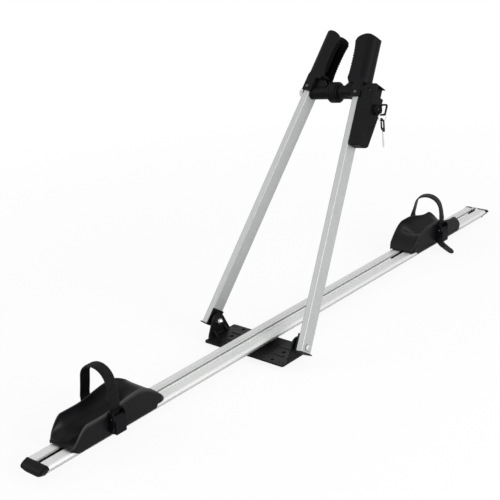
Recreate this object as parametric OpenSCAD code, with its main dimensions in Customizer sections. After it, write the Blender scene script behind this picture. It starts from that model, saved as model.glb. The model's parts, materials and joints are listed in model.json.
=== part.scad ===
// Roof mounted bike carrier: a slotted rail with two wheel trays, and a
// folding pair of arms whose jaws clamp the bicycle's frame.
// Millimetres. The origin is the middle of the base bracket's underside,
// +X runs along the rail, +Y across the car and +Z up.

/* [Rail] */
// Length of the aluminium rail
rail_l = 1400; // [1250:10:1600]
// Distance from the bracket's middle to the rail's middle
rail_shift = 133; // [80:1:180]
// Full width of the rail
rail_w = 59; // [54:1:66]
// Height of the rail below its lips
rail_h = 20; // [18:0.5:24]
// Width of the flat top of the rail
rail_flat_w = 46; // [42:1:50]
// Width of the rail's underside
rail_base_w = 41; // [38:1:50]
// Wall of the hollow rail
rail_wall = 2; // [1.6:0.1:2.4]
// Width of the T-slot's mouth
slot_w = 6; // [5.6:0.1:7]
// Width of each raised lip beside the mouth
lip_w = 3.5; // [3:0.5:4.5]
// Height of the lips above the ribbed top
lip_h = 2.5; // [1.5:0.5:3]
// Inner width of the T-slot
tee_w = 15; // [14:0.5:18]
// Inner height of the T-slot
tee_h = 7; // [6:0.5:8]
// Width of the windows where slider nuts drop into the slot
window_w = 13; // [12.5:0.5:14]
// Ribs on each half of the rail's top
land_ribs = 5; // [3:1:6]

/* [End caps] */
// Length of an end cap beyond the rail
cap_l = 20; // [14:1:28]
// Thickness of the cap's flange
cap_flange = 2; // [1:0.5:3]
// How far the flange stands proud of the rail
cap_proud = 0.8; // [0.2:0.2:1.6]

/* [Base bracket] */
// Size of the bracket's plate along the rail
plate_l = 92; // [80:1:110]
// Size of the bracket across the rail, over its ears
plate_w = 216; // [190:1:250]
// Thickness of the bracket's steel
plate_t = 4; // [3:0.5:5]
// Height of the arms' pivot above the underside
pivot_z = 30; // [28:1:36]
// Width of an ear where it leaves the plate
ear_w = 62; // [50:1:76]
// Radius of an ear round the pivot
ear_r = 17; // [14:0.5:20]
// Outer radius of the bend below an ear
bend_r = 7; // [5:0.5:9]
// Roof bar bolt holes, apart along the rail
bar_hole_dx = 72; // [66:1:76]
// Roof bar bolt holes, apart across the rail
bar_hole_dy = 140; // [120:1:150]
// Diameter of the roof bar bolt holes
bar_hole_d = 8; // [6.5:0.5:10.5]

/* [Arms] */
// Lean of the arms from upright, towards the rear tray
arm_lean = 35.8; // [20:0.2:45]
// Tilt of each arm towards the other
arm_tilt = 6.9; // [5:0.1:8]
// Distance from an ear's outer face to the middle of its arm
arm_out = 16.5; // [14:0.5:18]
// Arm section along the rail
arm_w = 32; // [28:1:36]
// Arm section across the rail
arm_t = 14; // [12:0.5:16]
// Wall of the arm tube
arm_wall = 1.8; // [1.2:0.1:2.4]
// Length of the arm tube above its pivot
arm_l = 545; // [480:5:600]
// Length of the arm tube below its pivot
arm_drop = 11; // [10:0.5:13]
// Diameter of the pivot bolts
pivot_d = 8; // [6:0.5:9]

/* [Clamp] */
// Distance of the clamp rod from the right arm's end, down the arm
clamp_drop = 15; // [12:1:18]
// Length of a jaw beyond the arm's end
jaw_l = 105; // [80:1:130]
// Outer radius of a jaw's rounded back
jaw_r = 19; // [18:0.5:22]
// Depth of a jaw from its back's centre to its mouth
jaw_reach = 28; // [22:1:32]
// Wall of the jaws
jaw_wall = 4; // [3:0.5:5]
// Length of the socket that takes the arm's end
socket_l = 31; // [28:1:40]
// Diameter of the clamp rod
rod_d = 8; // [6:0.5:9]
// Radius of the round spacer between the jaws
spacer_r = 21.5; // [18:0.5:24]
// Width of the round spacer between the jaws
spacer_w = 24; // [16:1:28]
// Teeth along each rubber pad
pad_teeth = 12; // [8:1:16]

/* [Cam lever] */
// Length of the lever below its pin
lever_down = 118; // [100:1:140]
// Reach of the lever's cam, closed
cam_r = 16; // [14:0.5:18]
// How far the open lever lets the right arm out
cam_fall = 2.4; // [1:0.2:3]
// Angle through which the lever opens
lever_open = 60; // [50:5:65]
// Width of the lever at its top
lever_w = 35; // [32:1:40]
// Thickness of the lever's grip at its top
lever_t = 37.5; // [34:0.5:42]
// Diameter of the lever's pin
lever_pin_d = 6; // [5:0.5:8]
// Radius of the lock's housing
lock_r = 11; // [10:0.5:12]
// Radius of the lock's turning plug
plug_r = 6; // [5:0.5:7]
// Distance of the lock below the lever's pin
lock_drop = 38; // [34:1:46]

/* [Wheel trays] */
// Length of the front wheel tray
front_tray_l = 219; // [190:1:240]
// Length of the rear wheel tray
rear_tray_l = 203; // [180:1:230]
// Height of a tray's rim at its open end
tray_low = 41; // [36:1:48]
// Height of a tray's rim at its highest
tray_high = 54; // [50:1:64]
// Half width of a tray where it sits on the rail
tray_half = 33; // [32.5:0.5:36]
// How far a rim leans out beyond the tray's foot
tray_flare = 5; // [3:0.5:10]
// Wall of a tray
tray_wall = 2.6; // [2:0.1:3.2]
// Depth of the skirts that wrap over the rail
skirt_h = 9; // [6:0.5:11]
// Distance from the rail's front end to the front tray
front_tray_gap = 55; // [30:1:90]
// Distance from the rail's rear end to the rear tray
rear_tray_gap = 123; // [60:1:160]

/* [Straps and buckles] */
// Distance from a tray's open end to the middle of its strap
strap_at = 94; // [80:1:105]
// Radius of a strap's arch over the wheel
strap_arch_r = 32; // [28:1:38]
// Width of a strap
strap_w = 22; // [18:1:26]
// Thickness of a strap
strap_t = 2.2; // [1.6:0.1:2.8]
// Height of the front strap's arch above the rail
front_strap_h = 119; // [110:1:150]
// Height of the rear strap's arch above the rail
rear_strap_h = 102; // [96:1:112]
// Length of the strap's tail below the front buckle
front_tail = 12; // [6:1:40]
// Length of the strap's tail below the rear buckle
rear_tail = 46; // [30:1:60]
// Width of a buckle
buckle_w = 30; // [28:1:36]
// Length of a buckle
buckle_l = 40; // [36:1:48]

/* [Hidden] */
$fn = 48;

// Overrun of every cut
over = 1;
// Gap between faces that slide or lie beside each other
gap = 0.3;
// Radial clearance of a turning pin or plug
run_play = 0.08;

// Heights of the rail
rail_z = plate_t;
rail_top = rail_z + rail_h;
lip_top = rail_top + lip_h;
rail_x0 = rail_shift - rail_l / 2;
rail_x1 = rail_shift + rail_l / 2;
rail_round = (rail_w - rail_flat_w) / 2;
side_band = 4;
tee_top = rail_top - rail_wall;
tee_floor = tee_top - tee_h;
groove_w = 1.1;
groove_h = 0.4;
land_edge = slot_w / 2 + lip_w;
land_pitch = (rail_flat_w / 2 - land_edge) / (land_ribs + 1);

// Windows in the slot, from the rail's two ends
front_window_l = 62;
rear_window_l = 34;
rear_window_in = 10;
entry_window_l = 60;
entry_window_in = 46;

// Rivets that hold the rail to the bracket
rivet_d = 5;
rivet_head_d = 8;
rivet_head_h = 1.6;
rivet_dx = 56;
rivet_y = (tee_w + rail_base_w) / 4;

// Bracket details
corner_r = 4;
bead_r = 5;
bead_h = 1.4;
bead_x = 15;
bead_l = 34;
gusset_w = 5;
gusset_s = 11;
gusset_x = 17;
spare_hole_d = 8;
small_hole_d = 4;
small_hole_x = 37;
small_hole_in = 14;
small_hole_y = plate_w / 2 - small_hole_in;
small_hole_dy = 8;

// Arm details
arm_round = 2;
foot_flange_t = 2.5;
foot_proud = 2;
foot_plate_t = 3;
foot_plate_up = 23.5;
foot_boss_r = 11;
foot_plug_up = 18;
washer_t = 1;
ear_out = plate_w / 2;
arm_y = ear_out + arm_out;
bolt_head_r = 7;
bolt_head_h = 4;
nut_flats = 13;
nut_h = 5;
dome_r = 5.6;
foot_face = arm_t / 2 + foot_plate_t;
boss_end = arm_y - ear_out - washer_t - gap;

// Clamp: distances from the pivot, up the arm
clamp_s = arm_l - clamp_drop;
clamp_y = arm_y - clamp_s * sin(arm_tilt);
clamp_half = clamp_y / cos(arm_tilt);
clamp_q = 2 * clamp_y * cos(arm_tilt) / cos(2 * arm_tilt);
clamp_left_s = clamp_s - clamp_q * tan(arm_tilt);
socket_s = arm_l - socket_l;
socket_x = arm_w / 2 + jaw_wall;
socket_y = arm_t / 2 + jaw_wall;
jaw_top_s = arm_l + jaw_l;
jaw_dome_r = 36;
jaw_dome_in = 2;
jaw_low_s = arm_l + 2 * jaw_wall;
mouth_cut = 16;
mouth_bow = 4;
boss_r = 14;
rod_play = 1;
pad_t = 2.4;
pad_w = 15;
tooth_h = 2.6;
pad_end = 12;
jaw_screw_d = 4;
jaw_screw_head_d = 7.5;
jaw_screw_head_h = 2.4;
jaw_screw_s = socket_s + 9;
clamp_nut_flats = 17;
clamp_nut_h = 9;
nut_boss_r = clamp_nut_flats * 0.62;
nut_y = socket_y / cos(2 * arm_tilt) + nut_boss_r * tan(2 * arm_tilt);

// Cam lever: places in the right arm's frame, outward +Y, its pin along +X
clamp_washer_t = 2;
washer_r = 14;
pin_out = socket_y + clamp_washer_t + gap + cam_r;
lever_in = arm_t / 2 + 1;
lever_out = lever_in + lever_t;
lever_front = arm_w / 2;
lever_round = 8;
lever_edge = 3;
lever_taper = 7;
lever_neck = 48;
recess_in = 8;
recess_h = 20;
recess_x = 6;
lever_top = cam_r - cam_fall * 90 / lever_open;
lever_step = socket_s - 2;
cam_slope = cam_fall / lever_open * 180 / PI;
eye_r = 6.5;
eye_w = rod_d + 1;
rod_end = 3;
lock_s = clamp_s - lock_drop;
lock_face = lever_out - lever_taper / 2;
lock_x = lever_w / 2 - lever_front;
lock_proud = 11.5;
lock_depth = 18;
cam_l = 10;
cam_w = 6;
cam_t = 2.5;
keyhole_w = 2.6;
keyhole_h = 8;
bow_l = 16;
bow_w = 24;
bow_t = 2.8;
bow_bar = 3;
blade_t = 2;
blade_h = 6.5;
blade_in = 22;
ring_r = 8;
ring_wire = 1.4;
ring_turn = 40;
spare_bow_l = 24;
spare_blade_l = 34;

// Trays
tray_floor = lip_h + gap;
tray_floor_t = 3;
rise_l = 28;
swell_start = 45;
swell_l = 70;
nose_l = 66;
close_start = 90;
close_l = 18;
skirt_end = 24;
tip_l = 12;
tip_in = 4;
skirt_clear = 0.8;
tray_stations = 34;
tray_arc_steps = 14;
front_tray_x = rail_x0 + front_tray_gap;
rear_tray_x = rail_x1 - rear_tray_gap;
slider_l = 44;
slider_w = 12;
slider_t = 5;
tray_screw_d = 5;
tray_screw_head_d = 10;
tray_screw_head_h = 2.6;
tray_screw_dx = 26;
tray_seat = tray_floor + tray_floor_t - gap;

// Straps
strap_gap = 0.4;
strap_foot = 6;
strap_steps = 20;
strap_rivet_d = 4;
strap_rivet_head_d = 8;
strap_rivet_head_h = 1.6;
strap_rivet_z = 15;
strap_rivet_in = 6;
wall_lean = atan(tray_flare / tray_high);
tail_curl = 40;

// Buckles
cheek_t = 2.6;
cheek_h = 13;
buckle_z = 22;
buckle_pin_d = 4;
buckle_pin_up = 8;
buckle_pin_out = 8;
trigger_l = 30;
trigger_t = 3;
pawl_r = 4.2;

// Shared helpers

module along_x(x0, length) translate([x0, 0, 0]) rotate([90, 0, 90]) linear_extrude(length) children();

module along_y(y0, length) translate([0, y0 + length, 0]) rotate([90, 0, 0]) linear_extrude(length)
    children();

module rounded_rect(w, h, r) {
    square([w - 2 * r, h], center = true);
    square([w, h - 2 * r], center = true);
    for (x = [-1, 1], y = [-1, 1])
        translate([x * (w / 2 - r), y * (h / 2 - r)]) circle(r);
}

// A straight pin along Y from y0 to y1
module pin_y(r, y0, y1) translate([0, y0, 0]) rotate([-90, 0, 0]) cylinder(r = r, h = y1 - y0);

// Places what is drawn in an arm's own frame: pivot at zero, the arm up +Z, outward +Y
module on_arm(side) mirror([0, side < 0 ? 1 : 0, 0]) translate([0, arm_y, pivot_z])
    rotate([0, arm_lean, 0]) rotate([arm_tilt, 0, 0]) children();

// At a distance up the arm, with Y turned level across the car
module level_at(s) translate([0, 0, s]) rotate([-arm_tilt, 0, 0]) children();

// At the clamp rod in an arm's own frame, with Y along the rod
module at_rod(side) translate([0, 0, side > 0 ? clamp_left_s : clamp_s])
    rotate([side > 0 ? -2 * arm_tilt : 0, 0, 0]) children();

// Rail

function arc(c, r, a0, a1, n) = [for (i = [0 : n]) let (a = a0 + (a1 - a0) * i / n) c + r * [cos(a),
    sin(a)]];

// A half outline from the middle to the right, closed by its mirror image
function both_halves(half) = concat(half, [for (i = [len(half) - 1 : -1 : 0]) [-half[i][0], half[i][1]]]);

function rail_side(grow) = concat(
    arc([rail_flat_w / 2, rail_top - rail_round], rail_round + grow, 90, 0, 8),
    [[rail_w / 2 + grow, rail_top - rail_round - side_band], [rail_base_w / 2 + grow, rail_z]]
);

module rail_outline(grow) polygon(both_halves(rail_side(grow)));

function land_groove(i) = let (y = land_edge + (i + 1) * land_pitch) [
    [y - groove_w / 2, rail_top], [y - groove_w / 2, rail_top - groove_h],
    [y + groove_w / 2, rail_top - groove_h], [y + groove_w / 2, rail_top]
];

module rail_hollows() {
    web = tee_w / 2 + rail_wall;
    for (s = [-1, 1]) mirror([s < 0 ? 1 : 0, 0]) polygon(concat(
        [[web, rail_z + rail_wall], [web, rail_top - rail_wall]],
        arc([rail_flat_w / 2, rail_top - rail_round], rail_round - rail_wall, 90, 0, 6),
        [[rail_w / 2 - rail_wall, rail_top - rail_round - side_band], [rail_base_w / 2 - rail_wall,
            rail_z + rail_wall]]
    ));
    translate([-tee_w / 2, rail_z + rail_wall]) square([tee_w, tee_floor - rail_z - 2 * rail_wall]);
}

module rail_section() difference() {
    polygon(both_halves(concat(
        [[tee_w / 2, tee_floor], [tee_w / 2, tee_top], [slot_w / 2, tee_top], [slot_w / 2, lip_top],
            [land_edge, lip_top], [land_edge, rail_top]],
        [for (i = [0 : land_ribs - 1]) each land_groove(i)],
        rail_side(0)
    )));
    rail_hollows();
}

module slot_window(x0, length) translate([x0, -window_w / 2, tee_top - over])
    cube([length, window_w, rail_wall + lip_h + 2 * over]);

module rail() color("silver") difference() {
    along_x(rail_x0, rail_l) rail_section();
    slot_window(rail_x0 - over, front_window_l + over);
    slot_window(rail_x1 - rear_window_in - rear_window_l, rear_window_l);
    slot_window(rear_tray_x - rear_tray_l - entry_window_in, entry_window_l);
    for (x = [-1, 1], y = [-1, 1]) translate([x * rivet_dx / 2, y * rivet_y, rail_z - over])
        cylinder(d = rivet_d + 2 * run_play, h = rail_wall + 2 * over);
}

module end_cap(side) mirror([side < 0 ? 1 : 0, 0, 0]) {
    x0 = side < 0 ? -rail_x0 : rail_x1;
    along_x(x0, cap_flange) rail_outline(cap_proud);
    intersection() {
        along_x(x0, cap_l) rail_outline(0);
        translate([x0, 0, 0]) linear_extrude(2 * rail_top) union() {
            square([2 * (cap_l - rail_round * 2), rail_w], center = true);
            translate([0, -rail_w / 2 + 2 * rail_round]) square([cap_l, rail_w - 4 * rail_round]);
            for (s = [-1, 1]) translate([cap_l - 2 * rail_round, s * (rail_w / 2 - 2 * rail_round)])
                circle(2 * rail_round);
        }
        along_y(-rail_w / 2, rail_w) polygon([
            [x0, rail_z], [x0, rail_top + over], [x0 + cap_flange, rail_top],
            [x0 + cap_l * 0.6, rail_top - rail_h * 0.14], [x0 + cap_l * 0.85, rail_top - rail_h * 0.3],
            [x0 + cap_l, rail_top - rail_h * 0.46], [x0 + cap_l, rail_z + rail_h * 0.42],
            [x0 + cap_l * 0.8, rail_z + rail_h * 0.24], [x0 + cap_l * 0.4, rail_z + rail_h * 0.07]
        ]);
    }
    translate([x0 - cap_l / 2, -(tee_w - gap) / 2, tee_floor + gap])
        cube([cap_l / 2 + over, tee_w - gap, tee_h - 2 * gap]);
}

module end_cap_front() color("#1c1c1e") end_cap(-1);
module end_cap_rear() color("#1c1c1e") end_cap(1);

// Base bracket

// Point where the line from (x, z) touches the circle round the pivot
function ear_tangent(x, z) = let (
        dx = x, dz = z - pivot_z, d = norm([dx, dz]), a = atan2(dz, dx), b = acos(ear_r / d)
    ) [ear_r * cos(a + b), pivot_z + ear_r * sin(a + b)];

module ear_outline() {
    foot = ear_tangent(ear_w / 2, plate_t);
    translate([0, pivot_z]) circle(ear_r);
    polygon([[-ear_w / 2, 0], [ear_w / 2, 0], [ear_w / 2, plate_t], foot,
        [0, pivot_z], [-foot[0], foot[1]], [-ear_w / 2, plate_t]]);
}

module fold_profile() difference() {
    union() {
        translate([-plate_w / 2, bend_r]) square([plate_w, pivot_z + ear_r]);
        translate([-plate_w / 2 + bend_r, 0]) square([plate_w - 2 * bend_r, bend_r]);
        for (s = [-1, 1]) translate([s * (plate_w / 2 - bend_r), bend_r]) circle(bend_r);
    }
    translate([-plate_w / 2 + plate_t, bend_r]) square([plate_w - 2 * plate_t, pivot_z + 2 * ear_r]);
    translate([-plate_w / 2 + bend_r, plate_t]) square([plate_w - 2 * bend_r, bend_r]);
    for (s = [-1, 1]) translate([s * (plate_w / 2 - bend_r), bend_r]) circle(bend_r - plate_t);
}

module gusset(side) for (x = [-1, 1]) translate([x * gusset_x - gusset_w / 2, 0, 0])
    mirror([0, side < 0 ? 1 : 0, 0]) along_x(0, gusset_w)
        polygon([[plate_w / 2 - plate_t - gusset_s, plate_t - over], [plate_w / 2 - plate_t - gusset_s,
            plate_t],
            [plate_w / 2 - plate_t, plate_t + gusset_s], [plate_w / 2 - plate_t + over,
                plate_t + gusset_s],
            [plate_w / 2 - plate_t + over, plate_t - over]]);

module bead(x, side) {
    y = side * (rail_w / 2 + bead_l);
    translate([x, y - bead_l / 2, plate_t + bead_h - bead_r]) rotate([-90, 0, 0]) cylinder(r = bead_r,
        h = bead_l);
    for (e = [-1, 1]) translate([x, y + e * bead_l / 2, plate_t + bead_h - bead_r]) sphere(bead_r);
}

module base_bracket() color("#222224") difference() {
    union() {
        intersection() {
            along_x(-ear_w / 2, ear_w) fold_profile();
            along_y(-plate_w / 2, plate_w) ear_outline();
        }
        linear_extrude(plate_t) rounded_rect(plate_l, plate_w - bend_r, corner_r);
        for (s = [-1, 1]) gusset(s);
        intersection() {
            for (x = [-1, 1], s = [-1, 1]) bead(x * bead_x, s);
            linear_extrude(plate_t + bead_h) square([plate_l, plate_w], center = true);
        }
    }
    for (x = [-1, 1], y = [-1, 1]) {
        translate([x * bar_hole_dx / 2, y * bar_hole_dy / 2, -over])
            cylinder(d = bar_hole_d, h = plate_t + 2 * over);
        translate([x * rivet_dx / 2, y * rivet_y, -over])
            cylinder(d = rivet_d + 2 * run_play, h = plate_t + 2 * over);
    }
    for (s = [-1, 1]) {
        translate([0, s * bar_hole_dy / 2, -over]) cylinder(d = spare_hole_d,
            h = plate_t + 2 * over + bead_h);
        for (e = [-1, 1]) translate([s * small_hole_x, s * small_hole_y + e * small_hole_dy / 2, -over])
            cylinder(d = small_hole_d, h = plate_t + 2 * over);
        translate([0, s * (plate_w / 2 - plate_t / 2), pivot_z])
            pin_y(pivot_d / 2 + run_play, -plate_t / 2 - over, plate_t / 2 + over);
    }
}

module rail_rivets() color("silver")
    for (x = [-1, 1], y = [-1, 1]) translate([x * rivet_dx / 2, y * rivet_y, 0]) {
        cylinder(d = rivet_d, h = rail_z + rail_wall);
        translate([0, 0, rail_z + rail_wall]) cylinder(d1 = rivet_head_d, d2 = rivet_d, h = rivet_head_h);
    }

// Pivots of the arms

module pivot_bolt(side) mirror([0, side < 0 ? 1 : 0, 0]) translate([0, 0, pivot_z]) {
    head_y = arm_y + (arm_t / 2) / cos(arm_tilt) + bolt_head_r * tan(arm_tilt) + gap;
    pin_y(pivot_d / 2, ear_out - plate_t - nut_h, head_y + over);
    translate([0, head_y, 0]) rotate([-90, 0, 0]) rotate_extrude() polygon([
        [0, 0], [bolt_head_r, 0], [bolt_head_r, bolt_head_h * 0.35], [bolt_head_r * 0.8,
            bolt_head_h * 0.8],
        [bolt_head_r * 0.5, bolt_head_h], [0, bolt_head_h]
    ]);
}

module dome_nut(side) mirror([0, side < 0 ? 1 : 0, 0]) translate([0, ear_out - plate_t, pivot_z])
    difference() {
    union() {
        rotate([90, 0, 0]) cylinder(d = nut_flats / cos(30), h = nut_h, $fn = 6);
        translate([0, -nut_h, 0]) sphere(dome_r);
    }
    pin_y(pivot_d / 2 + run_play, -nut_h - over / 2, over);
    translate([-nut_flats, 0, -nut_flats]) cube(2 * nut_flats);
}

module friction_washer(side) mirror([0, side < 0 ? 1 : 0, 0]) translate([0, 0, pivot_z]) difference() {
    pin_y(foot_boss_r, ear_out, ear_out + washer_t);
    pin_y(pivot_d / 2 + run_play, ear_out - over, ear_out + washer_t + over);
}

module pivot_bolt_left() color("silver") pivot_bolt(1);
module pivot_bolt_right() color("silver") pivot_bolt(-1);
module dome_nut_left() color("silver") dome_nut(1);
module dome_nut_right() color("silver") dome_nut(-1);
module friction_washer_left() color("#303030") friction_washer(1);
module friction_washer_right() color("#303030") friction_washer(-1);

// Arms

module jaw_screw_holes() translate([-2 * socket_x, 0, jaw_screw_s]) rotate([0, 90, 0])
    cylinder(d = jaw_screw_d + 2 * run_play, h = 4 * socket_x);

module arm_tube(side) on_arm(side) difference() {
    translate([0, 0, -arm_drop]) linear_extrude(arm_l + arm_drop) difference() {
        rounded_rect(arm_w, arm_t, arm_round);
        square([arm_w - 2 * arm_wall, arm_t - 2 * arm_wall], center = true);
    }
    level_at(0) pin_y(pivot_d / 2 + run_play, -arm_t, arm_t);
    at_rod(side) pin_y(rod_d / 2 + rod_play, -arm_t, arm_t);
    jaw_screw_holes();
}

module arm_foot(side) on_arm(side) difference() {
    inner_w = arm_w - 2 * arm_wall - 2 * gap;
    inner_t = arm_t - 2 * arm_wall - 2 * gap;
    union() {
        translate([-arm_w / 2, -foot_face, -arm_drop]) cube([arm_w, foot_plate_t,
            arm_drop + foot_plate_up]);
        translate([-arm_w / 2 - foot_proud, -foot_face, -arm_drop - foot_flange_t])
            cube([arm_w + 2 * foot_proud, arm_t + foot_plate_t + foot_proud, foot_flange_t]);
        translate([-inner_w / 2, -inner_t / 2, -arm_drop - over]) cube([inner_w, inner_t,
            arm_drop + foot_plug_up + over]);
        intersection() {
            level_at(0) pin_y(foot_boss_r, -boss_end, 0);
            translate([-arm_w / 2, -2 * arm_t, -arm_drop - foot_flange_t])
                cube([arm_w, 1.5 * arm_t, 2 * arm_w]);
        }
    }
    level_at(0) pin_y(pivot_d / 2 + run_play, -arm_t - foot_face, arm_t);
}

module arm_tube_left() color("#d8dadb") arm_tube(1);
module arm_tube_right() color("#d8dadb") arm_tube(-1);
module arm_foot_left() color("#1c1c1e") arm_foot(1);
module arm_foot_right() color("#1c1c1e") arm_foot(-1);

// Jaws

module jaw_section() difference() {
    union() {
        circle(jaw_r);
        translate([-jaw_r, -jaw_reach]) square([2 * jaw_r, jaw_reach]);
    }
    circle(jaw_r - jaw_wall);
    translate([-jaw_r + jaw_wall, -jaw_reach - over]) square([2 * (jaw_r - jaw_wall), jaw_reach + over]);
}

// Side view of a jaw's mouth: points are [across, up the arm]
module jaw_side() {
    dome_a = acos((jaw_r + over + jaw_dome_in) / jaw_dome_r);
    bow_r = (pow((jaw_l - mouth_cut) / 2, 2) + pow(mouth_bow, 2)) / (2 * mouth_bow);
    difference() {
        polygon(concat(
            [[jaw_r + over, arm_l - over]],
            arc([-jaw_dome_in, jaw_top_s - jaw_dome_r], jaw_dome_r, dome_a, 180 - dome_a, 10),
            [[-jaw_reach, jaw_top_s - mouth_cut],
                [-jaw_reach, jaw_low_s + jaw_wall], [-jaw_reach * 0.8, arm_l], [-socket_y, arm_l - over]]
        ));
        translate([-jaw_reach - bow_r + mouth_bow, (jaw_top_s + jaw_low_s - mouth_cut) / 2])
            circle(bow_r, $fn = 160);
    }
}

// How far the boss inside a jaw reaches along the rod
function boss_reach(side) = (side > 0 ? clamp_q - clamp_half : clamp_half) - spacer_w / 2 - gap;

module jaw_body(side) difference() {
    union() {
        intersection() {
            translate([0, 0, arm_l]) linear_extrude(jaw_l) jaw_section();
            rotate([90, 0, 90]) translate([0, 0, -jaw_r - over]) linear_extrude(2 * (jaw_r + over))
                jaw_side();
        }
        translate([0, 0, socket_s]) linear_extrude(arm_l + jaw_wall - socket_s)
            rounded_rect(2 * socket_x, 2 * socket_y, jaw_wall / 2);
        // swelling between the socket and the round back
        hull() {
            translate([0, 0, arm_l]) linear_extrude(over)
                translate([-jaw_r, -socket_y]) square([2 * jaw_r, 2 * socket_y]);
            translate([0, 0, jaw_low_s]) linear_extrude(jaw_wall) {
                circle(jaw_r, $fn = 32);
                translate([-jaw_r, -jaw_reach * 0.8]) square([2 * jaw_r, jaw_reach * 0.8]);
            }
        }
        // boss that carries the clamp rod towards the other jaw
        at_rod(side) pin_y(boss_r, -boss_reach(side), 0);
        if (side > 0) at_rod(side) pin_y(nut_boss_r, 0, nut_y);
        for (x = [-1, 1]) translate([x * boss_r * 0.6 - jaw_wall / 2, 0, 0]) rotate([90, 0, 90])
            linear_extrude(jaw_wall) polygon([
                [-socket_y + over, socket_s + over], [-socket_y + over, jaw_low_s],
                [-jaw_reach * 0.8, jaw_low_s], [-boss_reach(side) * 0.75, clamp_s + boss_r * 0.6],
                [-boss_reach(side) * 0.75, clamp_s - boss_r * 0.7]
            ]);
    }
    pocket_w = arm_w + gap;
    pocket_t = arm_t + gap;
    translate([-pocket_w / 2, -pocket_t / 2, socket_s - 2 * boss_r]) cube([pocket_w, pocket_t,
        socket_l + 2 * boss_r + gap]);
    at_rod(side) pin_y(rod_d / 2 + rod_play, -2 * clamp_y, 2 * jaw_r);
    jaw_screw_holes();
}

module jaw_pads(side) on_arm(side) {
    pad_low = jaw_low_s + 2 * jaw_wall;
    pad_high = jaw_top_s - mouth_cut - jaw_wall;
    pitch = (pad_high - pad_low) / pad_teeth;
    back = -jaw_reach + pad_w;
    tip = -jaw_reach + mouth_bow * 0.4;
    for (x = [-1, 1]) translate([x * (jaw_r - jaw_wall - pad_t / 2) - pad_t / 2, 0, 0]) rotate([90, 0,
        90])
        linear_extrude(pad_t) polygon(concat(
            [[back, pad_low], [back, pad_high]],
            [for (i = [pad_teeth : -1 : 1]) each [
                [tip, pad_low + i * pitch], [tip - tooth_h, pad_low + (i - 0.5) * pitch]
            ]],
            [[tip, pad_low]]
        ));
}

module jaw_screws(side) on_arm(side) for (a = [-90, 90]) translate([0, 0, jaw_screw_s]) rotate([0, a,
    0]) {
    translate([0, 0, arm_w / 2 - 2 * arm_wall]) cylinder(d = jaw_screw_d,
        h = socket_x - arm_w / 2 + 2 * arm_wall + over / 2);
    translate([0, 0, socket_x]) rotate_extrude() polygon([
        [0, 0], [jaw_screw_head_d / 2, 0], [jaw_screw_head_d / 2, jaw_screw_head_h * 0.4],
        [jaw_screw_head_d * 0.3, jaw_screw_head_h], [0, jaw_screw_head_h]
    ]);
}

module jaw_left() color("#1a1a1c") on_arm(1) jaw_body(1);
module jaw_right() color("#1a1a1c") on_arm(-1) jaw_body(-1);
module jaw_pads_left() color("#2a2a2a") jaw_pads(1);
module jaw_pads_right() color("#2a2a2a") jaw_pads(-1);
module jaw_screws_left() color("dimgray") jaw_screws(1);
module jaw_screws_right() color("dimgray") jaw_screws(-1);

// Clamp rod and what it carries. Distances along it run outward from the right arm

module on_rod() on_arm(-1) at_rod(-1) children();

module clamp_nut() color("silver") on_rod() difference() {
    translate([0, -clamp_q - nut_y - clamp_nut_h, 0]) rotate([-90, 0, 0])
        cylinder(d = clamp_nut_flats / cos(30), h = clamp_nut_h, $fn = 6);
    pin_y(rod_d / 2 + run_play, -clamp_q - nut_y - 2 * clamp_nut_h, 0);
}

module clamp_spacer() color("#1a1a1c") on_rod() translate([0, -clamp_half, 0]) difference() {
    union() {
        pin_y(spacer_r, -spacer_w * 0.38, spacer_w * 0.38);
        pin_y(spacer_r * 0.86, -spacer_w / 2, spacer_w / 2);
    }
    pin_y(rod_d / 2 + run_play, -spacer_w, spacer_w);
}

module clamp_rod() color("silver") on_rod() difference() {
    union() {
        pin_y(rod_d / 2, -clamp_q - nut_y - clamp_nut_h - rod_end, pin_out - eye_r / 2);
        translate([-eye_w / 2, pin_out, 0]) rotate([0, 90, 0]) cylinder(r = eye_r, h = eye_w);
    }
    translate([-rod_d, pin_out, 0]) rotate([0, 90, 0]) cylinder(d = lever_pin_d + 2 * run_play,
        h = 2 * rod_d);
}

module clamp_washer() color("silver") on_rod() difference() {
    pin_y(washer_r, socket_y, socket_y + clamp_washer_t);
    pin_y(rod_d / 2 + rod_play, socket_y - over, socket_y + clamp_washer_t + over);
}

module lever_pin() color("silver") on_rod() translate([-lever_front + lever_round / 2, pin_out, 0])
    rotate([0, 90, 0]) cylinder(d = lever_pin_d, h = lever_w - 1.5 * lever_round);

// Cam face at an angle from the arm's side: its reach falls evenly, so the arm follows evenly
function cam_point(a) = let (h = cam_r - cam_fall * a / lever_open)
    [-h * cos(a) - cam_slope * sin(a), h * sin(a) - cam_slope * cos(a)];

// The lever seen along the rail: [outward from its pin, up the arm from its pin]
module lever_profile() polygon(concat(
    [for (i = [0 : 18]) cam_point(90 * i / 18)],
    arc([lever_out - pin_out - lever_edge, lever_top - lever_edge], lever_edge, 90, 0, 4),
    arc([lever_out - lever_taper - pin_out - lever_round, lever_round - lever_down], lever_round, 0,
        -90, 6),
    arc([lever_in - pin_out + lever_round / 2, lever_round / 2 - lever_down], lever_round / 2, -90,
        -180, 4),
    [[lever_in - pin_out, lever_step - clamp_s], [-cam_r, lever_step - clamp_s]]
));

// The lever seen from the side of the car: [along the rail, up the arm from its pin]
module lever_side() polygon(concat(
    arc([lever_edge - lever_front, lever_top + over - lever_edge], lever_edge, 180, 90, 4),
    arc([lever_w - lever_front - lever_round / 2, lever_top + over - lever_round / 2], lever_round / 2,
        90, 0, 6),
    [[lever_w - lever_front, -lever_neck]],
    arc([lever_w * 0.8 - lever_front - lever_round, lever_round - lever_down], lever_round, 6, -90, 6),
    arc([lever_edge - lever_front, lever_edge - lever_down], lever_edge, -90, -180, 4)
));

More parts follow.
